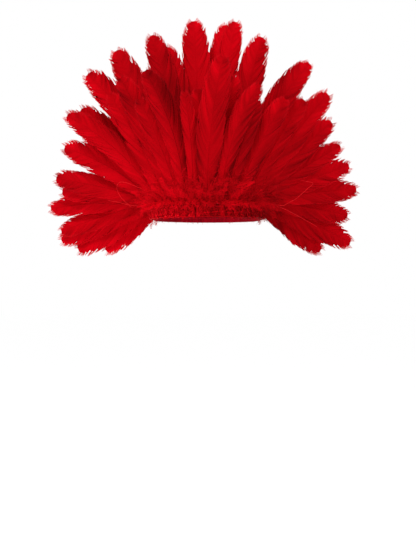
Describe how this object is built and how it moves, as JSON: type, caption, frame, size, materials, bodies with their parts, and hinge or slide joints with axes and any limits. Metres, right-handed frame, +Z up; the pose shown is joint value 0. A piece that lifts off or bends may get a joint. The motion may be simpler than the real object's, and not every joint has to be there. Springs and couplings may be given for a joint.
{
  "type": "feathered headdress, a full ring of dyed feathers",
  "caption": "Oval head ring with a quill tape round it, strung with dyed feathers that fan from upright in the middle to drooping below the ring at both sides.",
  "frame": {"origin": "middle of the head opening, at the lower edge of the head ring", "axes": "+X to the right of someone who stands behind the wearer and the way the fan is widest, +Y the way the wearer faces, +Z up along the head"},
  "size_m": [0.4568, 0.4196, 0.3699],
  "materials": {
    "band": "woven cloth ribbon",
    "tape": "gathered cloth tape, knotted over every quill",
    "feather": "dyed feather, soft vane with downy root"
  },
  "bodies": {
    "root": {"headband": "band", "quill_tape": "tape", "feather_01": "feather", "feather_02": "feather", "feather_03": "feather", "feather_04": "feather", "feather_05": "feather", "feather_06": "feather", "feather_07": "feather", "feather_08": "feather", "feather_09": "feather", "feather_10": "feather", "feather_11": "feather", "feather_12": "feather", "feather_13": "feather", "feather_14": "feather", "feather_15": "feather", "feather_16": "feather", "feather_17": "feather", "feather_18": "feather", "feather_19": "feather", "feather_20": "feather", "feather_21": "feather", "feather_22": "feather", "feather_23": "feather", "feather_24": "feather", "feather_25": "feather", "feather_26": "feather", "feather_27": "feather", "feather_28": "feather", "feather_29": "feather", "feather_30": "feather", "feather_31": "feather", "feather_32": "feather", "feather_33": "feather", "feather_34": "feather", "feather_35": "feather", "feather_36": "feather", "feather_37": "feather", "feather_38": "feather", "feather_39": "feather", "feather_40": "feather", "feather_41": "feather", "feather_42": "feather", "feather_43": "feather", "feather_44": "feather", "feather_45": "feather", "feather_46": "feather", "feather_47": "feather", "feather_48": "feather"}
  },
  "joints": []
}
